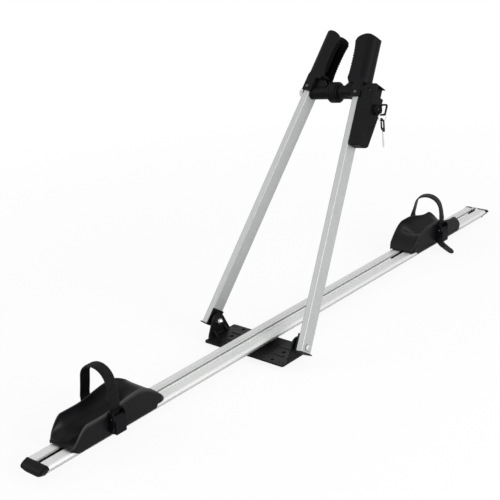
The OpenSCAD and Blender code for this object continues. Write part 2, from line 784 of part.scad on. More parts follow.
module cam_lever() color("#1c1c1e") {
    fork = eye_w + 2 * gap;
    on_rod() difference() {
        intersection() {
            translate([-lever_w, pin_out, 0]) rotate([90, 0, 90]) linear_extrude(3 * lever_w)
                lever_profile();
            rotate([90, 0, 0]) translate([0, 0, -2 * lever_out]) linear_extrude(2 * lever_out)
                lever_side();
        }
        translate([-fork / 2, 0, -eye_r - gap]) cube([fork, pin_out + eye_r + gap, 2 * cam_r]);
        translate([-lever_w, pin_out, 0]) rotate([0, 90, 0]) cylinder(d = lever_pin_d + 2 * run_play,
            h = 3 * lever_w);
        translate([recess_x - lever_front, lever_out - recess_in, -recess_h / 2]) cube([lever_w,
            2 * recess_in, recess_h]);
        translate([lock_x, 0, -lock_drop]) {
            pin_y(lock_r, lock_face - lock_depth, lever_out + over);
            pin_y(cam_l + gap, lock_face - lock_depth - 2 * cam_t, lock_face);
        }
    }
}

module at_lock() on_arm(-1) translate([lock_x, 0, lock_s]) children();

module lock_housing() color("#151515") at_lock() difference() {
    union() {
        pin_y(lock_r - run_play, lock_face - lock_depth, lock_face + lock_proud * 0.6);
        translate([0, lock_face + lock_proud * 0.6, 0]) rotate([-90, 0, 0])
            cylinder(r1 = lock_r - run_play, r2 = lock_r * 0.86, h = lock_proud * 0.4);
    }
    pin_y(plug_r + run_play, lock_face - lock_depth - over, lock_face + lock_proud + over);
}

module lock_plug() color("#b0b0b0") at_lock() difference() {
    pin_y(plug_r, lock_face - lock_depth, lock_face + lock_proud - gap);
    translate([-keyhole_w / 2, lock_face + lock_proud - blade_in - gap, -keyhole_h / 2])
        cube([keyhole_w, blade_in + over, keyhole_h]);
}

module lock_cam() color("#b0b0b0") at_lock() translate([0, lock_face - lock_depth - cam_t, 0])
    rotate([-90, 0, 0])
    linear_extrude(cam_t) {
        circle(plug_r);
        translate([-cam_w / 2, 0]) square([cam_w, cam_l - over]);
    }

// A key's grip: a rounded loop with an open window, from y0 outward
module bow_loop(length, width) difference() {
    translate([-bow_t / 2, 0, 0]) rotate([90, 0, 90]) linear_extrude(bow_t)
        translate([length / 2, 0]) rounded_rect(length, width, bow_bar * 1.2);
    translate([-bow_t, 0, 0]) rotate([90, 0, 90]) linear_extrude(2 * bow_t)
        translate([length / 2, 0]) rounded_rect(length - 2 * bow_bar, width - 2 * bow_bar,
            bow_bar / 2);
}

module key_bow() color("#1c1c1e") at_lock() translate([0, lock_face + lock_proud, 0]) bow_loop(bow_l,
    bow_w);

module key_blade() color("silver") at_lock()
    translate([-blade_t / 2, lock_face + lock_proud - blade_in, -blade_h / 2]) cube([blade_t, blade_in,
        blade_h]);

// Where the ring hangs on the key's grip: the middle of its lower bar
bar_y = lock_face + lock_proud + bow_l / 2;
bar_s = lock_s - bow_w / 2 + bow_bar / 2;
ring_hang = norm([bow_t, bow_bar]) / 2 + gap + ring_wire / 2;
spare_top = ring_hang - 2 * ring_r + ring_wire / 2 + 2 * gap + bow_bar;

// A point of the arm's own frame, turned upright
function upright(p) = let (
        y = p[1] * cos(arm_tilt) - p[2] * sin(arm_tilt), z = p[1] * sin(arm_tilt) + p[2] * cos(arm_tilt)
    ) [p[0] * cos(arm_lean) + z * sin(arm_lean), y, -p[0] * sin(arm_lean) + z * cos(arm_lean)];

// Upright frame at the lower bar of the key's grip
module at_bar() mirror([0, 1, 0]) translate([0, arm_y, pivot_z]) translate(upright([lock_x, bar_y,
    bar_s])) children();

module key_ring() color("silver") at_bar() translate([0, 0, ring_hang - ring_r]) rotate([90, 0,
    ring_turn])
    rotate_extrude() translate([ring_r, 0]) circle(d = ring_wire, $fn = 16);

// The spare key hangs from the ring with its flat side across it
module on_spare() at_bar() translate([0, 0, spare_top]) rotate([90, 0, ring_turn - 90]) children();

module spare_key_bow() color("#1c1c1e") on_spare() difference() {
    translate([0, -spare_bow_l / 2, -bow_t / 2]) linear_extrude(bow_t)
        rounded_rect(bow_w, spare_bow_l, bow_bar * 1.2);
    translate([0, -spare_bow_l / 2 + bow_bar / 4, -bow_t]) linear_extrude(2 * bow_t)
        rounded_rect(bow_w - 2 * bow_bar, spare_bow_l - 2.5 * bow_bar, bow_bar / 2);
}

module spare_key_blade() color("silver") on_spare() translate([-blade_h / 2,
    -spare_bow_l - spare_blade_l, -blade_t / 2])
    cube([blade_h, spare_blade_l, blade_t]);

// Wheel trays: an open trough on the rail, open at x = 0, closed by a round nose at x = l

function smooth(t) = let (c = min(max(t, 0), 1)) c * c * (3 - 2 * c);
function rise(x) = 1 - pow(max(1 - x / rise_l, 0), 1.5);
function nose(x, l) = 1 - pow(1 - min((l - x) / nose_l, 1), 1.6);
function rim(x, l) = let (foot = tray_floor + tray_floor_t + gap)
    foot + (tray_low - foot + (tray_high - tray_low) * smooth((x - swell_start) / swell_l)) * rise(x)
        * nose(x, l);
function trough(x, l) = let (foot = tray_floor + tray_floor_t)
    foot + (rim(x, l) - gap - foot) * smooth((x - l + close_start) / (close_start - close_l));
function foot_half(x, l) = tray_half - tip_in * pow(max(1 - (l - x) / tip_l, 0), 2);
function rim_half(x, l) = foot_half(x, l) + tray_flare * rim(x, l) / tray_high * nose(x, l);
function skirt(x, l) = gap / 2 - skirt_h * (1 - smooth((x - l + skirt_end) / (skirt_end - close_l)));
function skirt_in(x, l) = min(rail_w / 2 + skirt_clear, foot_half(x, l) - tray_wall / 2);

// One section of the tray as a closed loop of points, all at the same x
function tray_loop(x, l) = let (
        h = rim(x, l), f = trough(x, l), wo = rim_half(x, l), wi = wo - tray_wall, b = foot_half(x, l),
        k = skirt(x, l), c = skirt_in(x, l), m = b + (wo - b) * 0.45
    ) concat(
        [for (i = [0 : tray_arc_steps]) let (a = -90 + 180 * i / tray_arc_steps)
            [x, wi * sin(a), f + (h - f) * (1 - cos(a))]],
        [[x, wo, h], [x, m, h * 0.45], [x, b, gap], [x, b, k], [x, c, k], [x, c, tray_floor],
            [x, -c, tray_floor], [x, -c, k], [x, -b, k], [x, -b, gap], [x, -m, h * 0.45], [x, -wo, h]]
    );

// Stations crowd towards the curved ends
function station(i, l) = let (t = i / tray_stations) l * (t - sin(360 * t) / 360 * 45);

// One end of the tray as triangles between the loop's points
function tray_end(first, flip) = let (
        m = tray_arc_steps, o = m + 1, h = m / 2,
        tris = concat(
            [for (i = [h : m - 1]) [i, i + 1, o + 1]], [[m, o, o + 1], [o + 1, o + 2, o + 5]],
            [[o + 2, o + 3, o + 4], [o + 2, o + 4, o + 5], [o + 1, o + 5, h], [h, o + 5, o + 6], [h,
                o + 6, o + 10]],
            [[o + 6, o + 9, o + 10], [o + 6, o + 7, o + 9], [o + 7, o + 8, o + 9], [o + 10, o + 11, 0]],
            [for (i = [0 : h - 1]) [i, i + 1, o + 10]]
        )
    ) [for (t = tris) [first + t[flip ? 2 : 0], first + t[1], first + t[flip ? 0 : 2]]];

module tray_shell(l) {
    n = tray_arc_steps + 13;
    loops = [for (i = [0 : tray_stations]) tray_loop(station(i, l), l)];
    polyhedron(
        points = [for (l = loops) each l],
        faces = concat(
            tray_end(0, true),
            [for (i = [0 : tray_stations - 1], k = [0 : n - 1]) let (a = i * n + k, b = i * n + (k + 1)
                % n)
                each [[a, b, a + n], [b, b + n, a + n]]],
            tray_end(tray_stations * n, false)
        )
    );
}

module tray_screw_holes() for (x = [-1, 1]) translate([strap_at + x * tray_screw_dx / 2, 0, 0]) {
    translate([0, 0, tray_floor - over]) cylinder(d = tray_screw_d + gap, h = tray_floor_t + 2 * over);
    translate([0, 0, tray_seat]) cylinder(d = tray_screw_head_d + gap, h = tray_screw_head_h);
}

module tray(l) difference() {
    tray_shell(l);
    tray_screw_holes();
    at_strap_rivet() pin_y(strap_rivet_d / 2 + run_play, -strap_rivet_in - over, 0);
}

module at_front() translate([front_tray_x, 0, rail_top]) children();
module at_rear() translate([rear_tray_x, 0, rail_top]) mirror([1, 0, 0]) children();

module slider() difference() {
    translate([strap_at - slider_l / 2, -slider_w / 2, -rail_wall - slider_t - gap]) cube([slider_l,
        slider_w, slider_t]);
    for (x = [-1, 1]) translate([strap_at + x * tray_screw_dx / 2, 0, -tee_h - rail_wall])
        cylinder(d = tray_screw_d + 2 * run_play, h = tee_h);
}

module tray_screws() for (x = [-1, 1]) translate([strap_at + x * tray_screw_dx / 2, 0, 0]) {
    translate([0, 0, -rail_wall - slider_t]) cylinder(d = tray_screw_d,
        h = tray_seat + rail_wall + slider_t + over);
    translate([0, 0, tray_seat]) difference() {
        intersection() {
            cylinder(d = tray_screw_head_d, h = tray_screw_head_h);
            translate([0, 0, tray_screw_head_h - tray_screw_head_d]) sphere(tray_screw_head_d);
        }
        translate([0, 0, tray_screw_head_h / 2]) cylinder(d = tray_screw_d * 0.8, h = tray_screw_head_h,
            $fn = 6);
    }
}

module wheel_tray_front() color("#1e1e20") at_front() tray(front_tray_l);
module wheel_tray_rear() color("#1e1e20") at_rear() tray(rear_tray_l);
module slider_front() color("gray") at_front() slider();
module slider_rear() color("gray") at_rear() slider();
module tray_screws_front() color("gray") at_front() tray_screws();
module tray_screws_rear() color("gray") at_rear() tray_screws();

// Straps: a ribbon up the far wall, over the wheel and down the near wall

function wall_y(z) = tray_half + tray_flare * z / tray_high + strap_gap + strap_t / 2;
strap_rim = rim(strap_at, rear_tray_l);

// Ribbon's middle line: up the far wall, in to the arch, over it and down the near wall
function strap_path(top, tail, curl) = let (
        arch_z = top - strap_arch_r - strap_t / 2, foot = [wall_y(strap_rim), strap_rim - arch_z],
        lean = atan2(foot[1], foot[0]) + acos(strap_arch_r / norm(foot)), low = buckle_z - buckle_l / 2
    ) concat(
        [[wall_y(strap_foot), strap_foot], [wall_y(strap_rim), strap_rim]],
        arc([0, arch_z], strap_arch_r, lean, 180 - lean, strap_steps),
        [[-wall_y(strap_rim), strap_rim], [-wall_y(low), low]],
        [for (i = [1 : 6]) let (t = i / 6) [-wall_y(low) - tail * sin(curl * t) * t,
            low - tail * cos(curl * t) * t]]
    );

function unit(v) = v / norm(v);
function ribbon(path, half) = let (
        n = len(path),
        normal = [for (i = [0 : n - 1]) let (d = unit(path[min(i + 1, n - 1)] - path[max(i - 1, 0)]))
            [-d[1], d[0]]]
    ) concat(
        [for (i = [0 : n - 1]) path[i] + half * normal[i]],
        [for (i = [n - 1 : -1 : 0]) path[i] - half * normal[i]]
    );

module strap(top, tail, curl) difference() {
    along_x(strap_at - strap_w / 2, strap_w) polygon(ribbon(strap_path(top, tail, curl), strap_t / 2));
    at_strap_rivet() pin_y(strap_rivet_d / 2 + run_play, -strap_t, strap_t);
}

module at_strap_rivet() translate([strap_at, wall_y(strap_rivet_z), strap_rivet_z]) rotate([-wall_lean,
    0, 0]) children();

module strap_rivet() at_strap_rivet() {
    pin_y(strap_rivet_d / 2, -strap_rivet_in, strap_t / 2 + over / 2);
    translate([0, strap_t / 2, 0]) rotate([-90, 0, 0])
        cylinder(d1 = strap_rivet_head_d, d2 = strap_rivet_head_d * 0.7, h = strap_rivet_head_h);
}

module strap_front() color("#161616") at_front() strap(front_strap_h, front_tail, 0);
module strap_rear() color("#161616") at_rear() strap(rear_strap_h, rear_tail, tail_curl);
module strap_rivet_front() color("dimgray") at_front() strap_rivet();
module strap_rivet_rear() color("dimgray") at_rear() strap_rivet();

// Buckles: the strap runs between the cheeks, under the lever's pawl

module at_buckle() translate([strap_at, -wall_y(buckle_z), buckle_z]) rotate([wall_lean, 0, 0])
    mirror([0, 1, 0]) children();

module buckle_cheeks() for (s = [-1, 1]) translate([s * (buckle_w - cheek_t) / 2 - cheek_t / 2, 0, 0])
    rotate([90, 0, 90]) linear_extrude(cheek_t) polygon([
        [-strap_t / 2, -buckle_l / 2], [cheek_h * 0.5, -buckle_l / 2], [cheek_h, -buckle_l * 0.2],
        [cheek_h, buckle_l * 0.36], [cheek_h * 0.8, buckle_l / 2], [-strap_t / 2, buckle_l / 2]
    ]);

module buckle_body() difference() {
    union() {
        buckle_cheeks();
        translate([-buckle_w / 2, strap_t / 2 + gap, -buckle_l / 2]) cube([buckle_w, trigger_t,
            buckle_l * 0.3]);
        translate([-buckle_w / 2, strap_t / 2 + gap, buckle_l / 2 - trigger_t]) cube([buckle_w,
            trigger_t, trigger_t]);
    }
    translate([-buckle_w, buckle_pin_out, buckle_pin_up]) rotate([0, 90, 0])
        cylinder(d = buckle_pin_d + 2 * run_play, h = 2 * buckle_w);
}

module buckle_pin() translate([-buckle_w / 2 - gap, buckle_pin_out, buckle_pin_up]) rotate([0, 90, 0])
    cylinder(d = buckle_pin_d, h = buckle_w + 2 * gap);

module buckle_lever() {
    trigger_w = buckle_w - 2 * cheek_t - 2 * gap;
    translate([-trigger_w / 2, buckle_pin_out, buckle_pin_up]) rotate([90, 0, 90])
        linear_extrude(trigger_w) difference() {
        union() {
            circle(pawl_r);
            polygon([
                [0, pawl_r], [-pawl_r, 0], [0, -pawl_r], [cheek_h * 0.25, -pawl_r * 1.6],
                [cheek_h * 0.35, -trigger_l], [cheek_h * 0.35 + trigger_t, -trigger_l],
                [cheek_h * 0.4 + trigger_t, -pawl_r], [pawl_r, 0]
            ]);
        }
        circle(d = buckle_pin_d + 2 * run_play);
    }
}

module buckle_body_front() color("#1c1c1e") at_front() at_buckle() buckle_body();
module buckle_body_rear() color("#1c1c1e") at_rear() at_buckle() buckle_body();
module buckle_lever_front() color("#1c1c1e") at_front() at_buckle() buckle_lever();
module buckle_lever_rear() color("#1c1c1e") at_rear() at_buckle() buckle_lever();
module buckle_pin_front() color("silver") at_front() at_buckle() buckle_pin();
module buckle_pin_rear() color("silver") at_rear() at_buckle() buckle_pin();

rail();
end_cap_front();
end_cap_rear();
base_bracket();
rail_rivets();
pivot_bolt_left();
pivot_bolt_right();
dome_nut_left();
dome_nut_right();
friction_washer_left();
friction_washer_right();
arm_tube_left();
arm_tube_right();
arm_foot_left();
arm_foot_right();
jaw_left();
jaw_right();
jaw_pads_left();
jaw_pads_right();
jaw_screws_left();
jaw_screws_right();
clamp_nut();
clamp_spacer();
clamp_rod();
clamp_washer();
lever_pin();
cam_lever();
lock_housing();
lock_plug();
lock_cam();
key_bow();
key_blade();
key_ring();
spare_key_bow();
spare_key_blade();
wheel_tray_front();
wheel_tray_rear();
slider_front();
slider_rear();
tray_screws_front();
tray_screws_rear();
strap_front();
strap_rear();
strap_rivet_front();
strap_rivet_rear();
buckle_body_front();
buckle_body_rear();
buckle_lever_front();
buckle_lever_rear();
buckle_pin_front();
buckle_pin_rear();
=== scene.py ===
# %% [markdown]
# # A roof mounted bike carrier
#
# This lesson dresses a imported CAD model. It gives every CAD piece a
# procedural finish, replaces the plainest solids by finer meshes in the same
# place, and lights the whole like a catalogue picture. The scene is in
# metres and in the CAD model's own frame. Sizes of pieces are written in
# millimetres and multiplied by MM.

# %% Load the frame
import json
import math

import bpy
from mathutils import Matrix, Vector


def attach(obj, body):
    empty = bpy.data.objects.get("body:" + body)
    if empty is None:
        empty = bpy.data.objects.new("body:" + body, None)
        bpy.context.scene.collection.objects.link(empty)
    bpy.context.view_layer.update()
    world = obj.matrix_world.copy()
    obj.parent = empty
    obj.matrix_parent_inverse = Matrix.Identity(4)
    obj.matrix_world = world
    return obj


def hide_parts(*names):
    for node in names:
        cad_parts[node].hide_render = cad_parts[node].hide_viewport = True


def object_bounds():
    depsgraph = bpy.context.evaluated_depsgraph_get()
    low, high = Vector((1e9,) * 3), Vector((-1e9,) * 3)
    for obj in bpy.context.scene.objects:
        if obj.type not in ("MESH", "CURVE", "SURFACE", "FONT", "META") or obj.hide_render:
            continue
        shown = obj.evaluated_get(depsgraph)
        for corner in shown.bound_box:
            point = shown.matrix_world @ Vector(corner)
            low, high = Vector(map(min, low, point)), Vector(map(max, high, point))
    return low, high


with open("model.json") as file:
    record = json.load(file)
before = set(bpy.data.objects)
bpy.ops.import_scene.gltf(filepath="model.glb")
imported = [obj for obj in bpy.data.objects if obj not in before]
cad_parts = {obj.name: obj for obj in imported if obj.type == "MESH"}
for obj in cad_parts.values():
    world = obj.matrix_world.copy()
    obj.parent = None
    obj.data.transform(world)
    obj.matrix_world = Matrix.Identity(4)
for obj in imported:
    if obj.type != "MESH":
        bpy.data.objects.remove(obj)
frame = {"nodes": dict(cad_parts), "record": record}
cad_low, cad_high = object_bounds()
nodes = frame["nodes"]
MM = 0.001
print("CAD box", [round(v, 4) for v in cad_low], [round(v, 4) for v in cad_high])

# %% [markdown]
# ## The camera
#
# The picture was taken from ahead of the carrier, on its right and a metre
# up. A camera could be placed by eye. This one was fitted by least squares
# to points along the rail, the trays and the arms, so that the render can
# be laid over the photograph.

# %% Camera
CAMERA_PLACE = Vector((-1.5772, -1.4867, 1.0659))
CAMERA_RIGHT = Vector((0.65761, -0.74851, -0.08526))
CAMERA_UP = Vector((0.32956, 0.18406, 0.92602))
CAMERA_AHEAD = Vector((0.67745, 0.63706, -0.36771))
SENSOR, LENS = 36, 85.73

camera_data = bpy.data.cameras.new("camera")
camera_data.sensor_width = SENSOR
camera_data.lens = LENS
camera_data.clip_start = 0.05
camera_data.clip_end = 50
camera = bpy.data.objects.new("camera", camera_data)
bpy.context.scene.collection.objects.link(camera)
turn = Matrix((CAMERA_RIGHT, CAMERA_UP, -CAMERA_AHEAD)).transposed().to_4x4()
camera.matrix_world = Matrix.Translation(CAMERA_PLACE) @ turn
bpy.context.scene.camera = camera
bpy.context.scene.view_settings.view_transform = "Standard"
print("camera at", [round(v, 3) for v in CAMERA_PLACE], "lens", LENS)

# %% [markdown]
# ## Finishes
#
# The carrier has few finishes: drawn and anodised aluminium, black
# mouldings, black powder coat, bright zinc and rubber. Each has a soft
# variation of its colour, a roughness that drifts, and a fine grain. Ten
# materials with their own noise would repeat the same nodes, so the grain is
# one node group, and each material sets its scale, stretch and height.

# %% A node group for grain
GRAIN_INPUTS = (("Scale", "Float"), ("Stretch", "Vector"), ("Height", "Float"), ("Low", "Float"), ("High", "Float"))
GRAIN_OUTPUTS = (("Roughness", "Float"), ("Normal", "Vector"), ("Noise", "Float"))


def grain_group():
    """Noise at a scale: puts out a roughness from Low to High, a fine normal and the noise."""
    group = bpy.data.node_groups.new("grain", "ShaderNodeTree")
    for way, sockets in (("INPUT", GRAIN_INPUTS), ("OUTPUT", GRAIN_OUTPUTS)):
        for label, kind in sockets:
            group.interface.new_socket(label, in_out=way, socket_type="NodeSocket" + kind)
    n, link = group.nodes, group.links.new
    inside, outside = n.new("NodeGroupInput"), n.new("NodeGroupOutput")
    place, stretch = n.new("ShaderNodeTexCoord"), n.new("ShaderNodeVectorMath")
    stretch.operation = "MULTIPLY"
    noise, ramp, bump = n.new("ShaderNodeTexNoise"), n.new("ShaderNodeMapRange"), n.new("ShaderNodeBump")
    noise.inputs["Detail"].default_value = 3
    link(place.outputs["Object"], stretch.inputs[0])
    link(inside.outputs["Stretch"], stretch.inputs[1])
    link(stretch.outputs[0], noise.inputs["Vector"])
    link(inside.outputs["Scale"], noise.inputs["Scale"])
    link(noise.outputs["Fac"], ramp.inputs["Value"])
    link(inside.outputs["Low"], ramp.inputs["To Min"])
    link(inside.outputs["High"], ramp.inputs["To Max"])
    link(noise.outputs["Fac"], bump.inputs["Height"])
    link(inside.outputs["Height"], bump.inputs["Distance"])
    link(ramp.outputs["Result"], outside.inputs["Roughness"])
    link(bump.outputs["Normal"], outside.inputs["Normal"])
    link(noise.outputs["Fac"], outside.inputs["Noise"])
    return group


GRAIN = grain_group()
print("group", GRAIN.name, "with", len(GRAIN_INPUTS), "inputs")

# %% [markdown]
# Handling leaves faint pale marks on black plastic. They could be painted,
# but then they would suit one shape only. A second group finds thin, broken
# patches in a larger noise, wherever the surface is.

# %% A node group for marks of use
PATCHES = (0.56, 0.74)
PATCH_SCALE = 38


def marks_group():
    """Broken patches of a given scale: puts out a mask from 0 to Amount."""
    group = bpy.data.node_groups.new("marks", "ShaderNodeTree")
    for label in ("Scale", "Amount"):
        group.interface.new_socket(label, in_out="INPUT", socket_type="NodeSocketFloat")
    group.interface.new_socket("Mask", in_out="OUTPUT", socket_type="NodeSocketFloat")
    n, link = group.nodes, group.links.new
    inside, outside = n.new("NodeGroupInput"), n.new("NodeGroupOutput")
    place, noise, ramp = n.new("ShaderNodeTexCoord"), n.new("ShaderNodeTexNoise"), n.new("ShaderNodeMapRange")
    noise.inputs["Detail"].default_value = 6
    noise.inputs["Roughness"].default_value = 0.7
    ramp.inputs["From Min"].default_value, ramp.inputs["From Max"].default_value = PATCHES
    link(place.outputs["Object"], noise.inputs["Vector"])
    link(inside.outputs["Scale"], noise.inputs["Scale"])
    link(noise.outputs["Fac"], ramp.inputs["Value"])
    link(inside.outputs["Amount"], ramp.inputs["To Max"])
    link(ramp.outputs["Result"], outside.inputs["Mask"])
    return group


MARKS = marks_group()
print("group", MARKS.name, "keeps noise from", PATCHES[0], "to", PATCHES[1])

# %% [markdown]
# One function joins both groups to a Principled shader. The noise drifts
# between a darker and a lighter tint of the colour. The marks blend a pale wear
# colour in, and the same pale colour is a painted highlight where an attribute
# on a mesh's points marks its lips. A CAD piece has no such attribute and reads 0.

# %% One finish from the two groups
def finish_of(name, colour, metallic, low, high, scale, height,
              stretch=(1, 1, 1), tint=0.06, specular=0.5, wear=0.0):
    """A material whose colour, roughness (low to high) and normal vary over the surface."""
    made = bpy.data.materials.new(name)
    made.use_nodes = True
    n, link = made.node_tree.nodes, made.node_tree.links.new
    shader = n["Principled BSDF"]
    shader.inputs["Metallic"].default_value = metallic
    shader.inputs["Specular IOR Level"].default_value = specular
    grain, marks = n.new("ShaderNodeGroup"), n.new("ShaderNodeGroup")
    grain.node_tree, marks.node_tree = GRAIN, MARKS
    values = {"Scale": scale, "Stretch": stretch, "Height": height * MM, "Low": low, "High": high}
    for label, value in values.items():
        grain.inputs[label].default_value = value
    marks.inputs["Scale"].default_value = PATCH_SCALE
    marks.inputs["Amount"].default_value = wear
    mix, wear_and_highlight = n.new("ShaderNodeMix"), n.new("ShaderNodeMix")
    mix.data_type = wear_and_highlight.data_type = "RGBA"
    mix.inputs["A"].default_value = [c * (1 - tint) for c in colour] + [1]
    mix.inputs["B"].default_value = [min(1, c * (1 + tint)) for c in colour] + [1]
    # A paler colour: real wear where the marks are, a painted highlight along lips.
    wear_and_highlight.inputs["B"].default_value = [0.6 * c + 0.05 for c in colour] + [1]
    # This attribute says where a highlight is painted along a moulding's lips.
    edge, either = n.new("ShaderNodeAttribute"), n.new("ShaderNodeMath")
    edge.attribute_name = "painted_lip_highlight"
    either.operation = "MAXIMUM"
    link(grain.outputs["Noise"], mix.inputs["Factor"])
    link(marks.outputs["Mask"], either.inputs[0])
    link(edge.outputs["Fac"], either.inputs[1])
    link(either.outputs[0], wear_and_highlight.inputs["Factor"])
    link(mix.outputs["Result"], wear_and_highlight.inputs["A"])
    link(wear_and_highlight.outputs["Result"], shader.inputs["Base Color"])
    link(grain.outputs["Roughness"], shader.inputs["Roughness"])
    link(grain.outputs["Normal"], shader.inputs["Normal"])
    return made


# %% [markdown]
# The metal's grain is stretched along the way in which it was drawn. The
# black pieces have a very dark colour and little specular, because on the
# photograph their form shows by a faint sheen alone.

# %% The finishes, by the record's slots
ALONG_RAIL, ALONG_ARM = (0.05, 1, 1), (0.3, 1, 0.12)
RECIPES = {
    "aluminium_rail": dict(colour=(0.62, 0.63, 0.62), metallic=0.35, low=0.36, high=0.48,
                           scale=160, height=0.01, stretch=ALONG_RAIL, tint=0.03),
    "arm_aluminium": dict(colour=(0.38, 0.39, 0.385), metallic=0.4, low=0.42, high=0.52,
                          scale=160, height=0.01, stretch=ALONG_ARM, tint=0.03),
    "black_plastic": dict(colour=(0.0042, 0.0042, 0.0050), metallic=0, low=0.38, high=0.52,
                          scale=1400, height=0.03, specular=0.07, wear=0.03),
    "tray_plastic": dict(colour=(0.0050, 0.0050, 0.0058), metallic=0, low=0.30, high=0.42,
                         scale=1200, height=0.02, specular=0.11, wear=0.04),
    "strap_plastic": dict(colour=(0.0045, 0.0045, 0.0045), metallic=0, low=0.32, high=0.46,
                          scale=1200, height=0.02, specular=0.10, wear=0.02),
    "black_steel": dict(colour=(0.006, 0.006, 0.006), metallic=0, low=0.30, high=0.42,
                        scale=700, height=0.03, specular=0.10, wear=0.04),
    "zinc_steel": dict(colour=(0.62, 0.63, 0.64), metallic=1, low=0.22, high=0.34, scale=500, height=0.01),
    "dark_steel": dict(colour=(0.06, 0.06, 0.06), metallic=0.9, low=0.30, high=0.42, scale=500, height=0.01),
    "key_steel": dict(colour=(0.60, 0.60, 0.59), metallic=1, low=0.16, high=0.26, scale=500, height=0.01),
    "dark_rubber": dict(colour=(0.005, 0.005, 0.005), metallic=0, low=0.56, high=0.70,
                        scale=900, height=0.04, specular=0.07, wear=0.04),
}
FINISHES = {name: finish_of(name, **values) for name, values in RECIPES.items()}


def paint(obj, slot_name):
    """Puts one finish on every material slot of an object."""
    if not obj.material_slots:
        obj.data.materials.append(FINISHES[slot_name])
    for slot in obj.material_slots:
        slot.material = FINISHES[slot_name]


painted = frame["record"]["subparts"]
for part in painted:
    paint(nodes[part["node"]], part["material_slot"])
print("painted", len(painted), "CAD nodes with", len(FINISHES), "finishes")

# %% [markdown]
# ## Softer edges
#
# Real mouldings and pressings have no knife edges. The CAD mesh could be
# remade, but a bevel modifier leaves it alone: it rounds each sharp edge by
# a few tenths of a millimetre, catches the light there and keeps the size.

# %% Bevels on CAD pieces
BEVEL_ANGLE = 35
EDGES = {
    "base_bracket": 0.5, "cam_lever": 1.6, "jaw_left": 0.9, "jaw_right": 0.9,
    "arm_foot_left": 0.6, "arm_foot_right": 0.6,
    "buckle_body_front": 0.6, "buckle_body_rear": 0.6, "key_bow": 0.5, "spare_key_bow": 0.5,
    "lock_housing": 0.6, "key_blade": 0.2, "jaw_pads_left": 0.3, "jaw_pads_right": 0.3,
    "clamp_nut": 0.4, "dome_nut_left": 0.3, "dome_nut_right": 0.3,
}
for name, width in EDGES.items():
    bevel = nodes[name].modifiers.new("soft_edges", "BEVEL")
    bevel.width = width * MM
    bevel.segments = 3
    bevel.limit_method = "ANGLE"
    bevel.angle_limit = math.radians(BEVEL_ANGLE)
print("bevels on", len(EDGES), "nodes")

# %% [markdown]
# ## Helpers for new pieces
#
# Nearly every new piece is a loft: one outline is repeated along a path,
# and the rings of points are joined by faces. Modelling by hand or by
# booleans would give uneven meshes. A loft gives clean ones, and its rings
# can change shape from one to the next.

# %% Make a mesh piece
def make_piece(name, points, faces, slot_name, body, replaces, place=None, crease=40, lip_highlight=None):
    """Builds a mesh from millimetre points, finishes it and ties it to a body."""
    place = place or Matrix()
    mirrored = place.determinant() < 0
    mesh = bpy.data.meshes.new(name)
    mesh.from_pydata([place @ (Vector(p) * MM) for p in points], [], [f[::-1] if mirrored else f for f in faces])
    mesh.update()
    mesh.shade_smooth()
    mesh.set_sharp_from_angle(angle=math.radians(crease))
    # Point values of a painted highlight, which the finish blends in as a pale colour.
    if lip_highlight:
        mesh.attributes.new("painted_lip_highlight", "FLOAT", "POINT").data.foreach_set("value", lip_highlight)
    obj = bpy.data.objects.new(name, mesh)
    bpy.context.scene.collection.objects.link(obj)
    paint(obj, slot_name)
    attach(obj, body)
    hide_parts(replaces)
    print(name, len(mesh.polygons), "faces")


# %% Loft, turn and ease
def loft(rings):
    """Points and faces of a tube through rings of equal length, with flat ends."""
    count = len(rings[0])
    points = [p for ring in rings for p in ring]
    faces = []
    for i in range(len(rings) - 1):
        for k in range(count):
            a, b = i * count + k, i * count + (k + 1) % count
            faces.append((a, b, b + count, a + count))
    last = (len(rings) - 1) * count
    faces += [tuple(range(count))[::-1], tuple(range(last, last + count))]
    return points, faces


def turned(profile, steps):
    """Points and faces of a closed ring turned about the Y axis from (radius, along) points."""
    rings = []
    for i in range(steps):
        a = 2 * math.pi * i / steps
        rings.append([(r * math.cos(a), y, r * math.sin(a)) for r, y in profile])
    count = len(profile)
    points = [p for ring in rings for p in ring]
    faces = []
    for i in range(steps):
        j = (i + 1) % steps
        for k in range(count):
            m = (k + 1) % count
            faces.append((i * count + k, i * count + m, j * count + m, j * count + k))
    return points, faces


def smooth_step(t):
    """Rises from 0 to 1 with level ends."""
    t = min(max(t, 0), 1)
    return t * t * (3 - 2 * t)


print("a step eases through", [round(smooth_step(t / 4), 2) for t in range(5)])

# %% [markdown]
# ## Rail
#
# The rail is an extrusion: one section, drawn out along X. Shallow grooves
# run along both lands, the sides are rounded, and the underside slopes in
# to the foot. Where a slider's nut drops in, the slot's lips are milled
# away. Cutting them by booleans would break the long clean faces, so there
# the same ring of points takes the places of a wider slot.

# %% The rail's section, in millimetres
RAIL_ENDS = (-567.0, 833.0)
WINDOWS = ((-567.0, -505.0), (461.0, 521.0), (789.0, 823.0))
LAND_Z, LIP_Z, LIP_Y = 24.0, 26.5, 6.5
SLOT_Y, POCKET_Y, POCKET_Z, POCKET_TOP = 3.0, 7.5, 15.0, 22.0
GROOVE_N, GROOVE_PITCH, GROOVE_DEEP = 5, 2.9, 0.18
SIDE_R, SIDE_Y, SLOPE_Z = 5.5, 29.5, 18.0
FOOT_Y, FOOT_Z = 16.0, 4.0
SIDE_STEPS = 12


